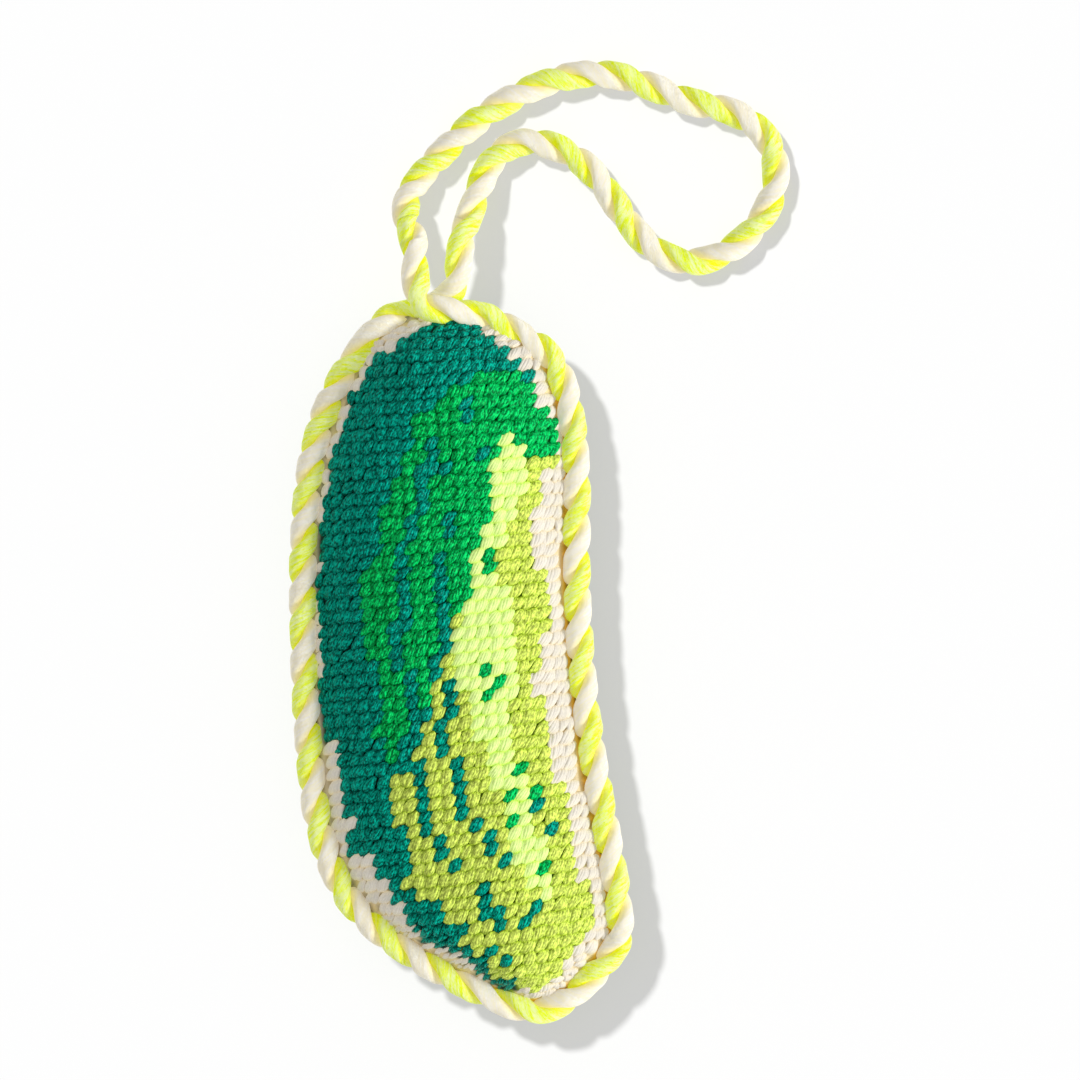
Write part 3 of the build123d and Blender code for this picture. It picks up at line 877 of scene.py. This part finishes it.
def make_cord(name, places, up, side, turns, distances, swelling, materials):
    """Two plies twisted round each other along part of the route."""
    angles = np.arange(CORD_SIDES) * 2 * math.pi / CORD_SIDES
    # Rise round each ply: high on its outside, low in the groove, where the colour painted as shade is full
    rise = np.clip(GROOVE_MEAN + GROOVE_SWING * np.cos(angles), 0, 1)
    points = []
    faces = []
    fibres = []
    face_materials = []
    for ply in range(len(materials)):
        phase = 2 * math.pi * (turns + ply / len(materials))
        outward = up * np.cos(phase)[:, None] + side * np.sin(phase)[:, None]
        sideways = side * np.cos(phase)[:, None] - up * np.sin(phase)[:, None]
        reach = PLY_OFFSET + PLY_DEPTH * swelling[:, None] * np.cos(angles)
        width = PLY_WIDTH * swelling[:, None] * np.sin(angles)
        ring = places[:, None] + outward[:, None] * reach[..., None] + sideways[:, None] * width[..., None]
        points.append(ring.reshape(-1, 3))
        ply_faces = tube_faces(len(places), CORD_SIDES, ply * len(places) * CORD_SIDES)
        faces.extend(ply_faces)
        face_materials.extend([ply] * len(ply_faces))
        laid = angles - FIBRE_LAY * distances[:, None]
        stretch = np.broadcast_to(FIBRE_STRETCH * distances[:, None] + FIBRES_APART * ply, laid.shape)
        fibre = np.stack([FIBRE_RADIUS * np.cos(laid), FIBRE_RADIUS * np.sin(laid), stretch], axis=-1)
        fibres.append(fibre.reshape(-1, 3))
    piece = make_piece(name, np.concatenate(points), faces, materials, face_materials)
    for polygon in piece.data.polygons:
        polygon.use_smooth = len(polygon.vertices) == 4
    point_values(piece, "rise", np.tile(rise, len(places) * len(materials)))
    data = piece.data.attributes.new("fibre", "FLOAT_VECTOR", "POINT").data
    data.foreach_set("vector", np.concatenate(fibres).astype(np.float32).ravel())
    return piece


def make_cords():
    """The trim with the bending roots of the loop, and the free loop."""
    route = LOOP_ROUTE + RIGHT_LEG + TRIM_ROUTE + LEFT_LEG
    places, distances, length = even_route(route)
    up, side = cord_frames(places)
    known, turned = np.array(TWIST).T
    known = np.concatenate([known[-2:-1] - length, known])
    turned = np.concatenate([turned[-2:-1] - ROUTE_TURNS, turned])
    turns = np.interp(distances, known, turned)
    swelling = cord_swelling(distances, length)
    # Pale, rich and groove colours of each ply: the groove colour is painted shade, yellowed as painted light reflected
    # from the other ply, and the glow is painted light
    materials = [
        cord_material("neon_ply", srgb(243, 254, 176), srgb(232, 250, 8), srgb(231, 238, 0), glow=0.24),
        cord_material("cream_ply", srgb(245, 241, 226), srgb(242, 233, 206), srgb(247, 226, 160), glow=0.26),
    ]
    beyond = np.flatnonzero((places[:, 1] > LEG_SPLIT) & (distances < LOOP_SHARE * length))
    first = int(beyond[0])
    last = int(beyond[-1])
    free = np.arange(first, last + 1)
    held = np.concatenate([np.arange(last, len(places)), np.arange(0, first + 1)])
    loop_course = (places[free], up[free], side[free], turns[free], distances[free], swelling[free])
    loop = make_cord("loop_cord", *loop_course, materials)
    held_turns = np.where(held > first, turns[held], turns[held] + ROUTE_TURNS)
    held_distances = np.where(held > first, distances[held], distances[held] + length)
    trim_course = (places[held], up[held], side[held], held_turns, held_distances, swelling[held])
    trim = make_cord("trim_rope", *trim_course, materials)
    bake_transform(trim)
    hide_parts("trim_cord")
    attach(loop, "loop")
    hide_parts("hanging_loop")


# Stage


def linked_to(piece, state):
    """A collection by which a lamp reaches one object alone, or all but that one."""
    reached = bpy.data.collections.new(piece.name + "_" + state.lower())
    reached.objects.link(piece)
    reached.collection_objects[0].light_linking.link_state = state
    return reached


def sun_light(name, azimuth, elevation, strength, angle):
    """A distant light from a bearing, counted from the top of the picture to the right."""
    light = bpy.data.lights.new(name, "SUN")
    light.energy = strength
    light.angle = math.radians(angle)
    lamp = bpy.data.objects.new(name, light)
    bearing = math.radians(azimuth)
    height = math.radians(elevation)
    towards = Vector((math.sin(bearing) * math.cos(height), math.cos(bearing) * math.cos(height), math.sin(height)))
    lamp.rotation_mode = "QUATERNION"
    lamp.rotation_quaternion = towards.to_track_quat("Z", "Y")
    bpy.context.scene.collection.objects.link(lamp)
    return lamp


def make_stage():
    """White floor, light world, a key light from the right, and a light on the floor alone for its shadow."""
    mesh = bpy.data.meshes.new("floor")
    corners = [(x * FLOOR_HALF, y * FLOOR_HALF, 0) for x, y in ((-1, -1), (1, -1), (1, 1), (-1, 1))]
    mesh.from_pydata(corners, [], [(0, 1, 2, 3)])
    mesh.materials.append(floor_material())
    floor = bpy.data.objects.new("floor", mesh)
    bpy.context.scene.collection.objects.link(floor)
    world = bpy.data.worlds.new("studio")
    world.use_nodes = True
    background = world.node_tree.nodes["Background"]
    background.inputs["Color"].default_value = (1, 1, 1, 1)
    background.inputs["Strength"].default_value = 0.57
    bpy.context.scene.world = world
    key = sun_light("key_light", azimuth=100, elevation=29, strength=2.5, angle=18)
    key.light_linking.receiver_collection = linked_to(floor, "EXCLUDE")
    drop = sun_light("shadow_light", azimuth=-45, elevation=52, strength=4.95, angle=5)
    drop.light_linking.receiver_collection = linked_to(floor, "INCLUDE")


def make_camera():
    """The camera, straight above, framed as in the photograph."""
    camera = bpy.data.objects.new("camera", bpy.data.cameras.new("camera"))
    camera.location = (*VIEW_CENTRE, SEAM_HEIGHT * MM + CAMERA_DISTANCE)
    camera.data.sensor_width = 36.0
    camera.data.lens = camera.data.sensor_width * CAMERA_DISTANCE / VIEW_WIDTH
    camera.data.clip_start = 0.01
    bpy.context.scene.collection.objects.link(camera)
    bpy.context.scene.camera = camera


make_camera()
make_cords()
crown = panel("crown_guide", FACE_INSIDE_CORD, CROWN_SHARES, crown_height, [])
close_spine(crown, FACE_JOIN)
stitched_face = StitchedFace(crown, list(THREADS))
bpy.data.objects.remove(crown)
make_stitches(stitched_face)
make_canvas(stitched_face)
make_back()
make_stuffing()
finish_sewing_threads()
make_stage()
bpy.context.scene.view_settings.view_transform = "Standard"
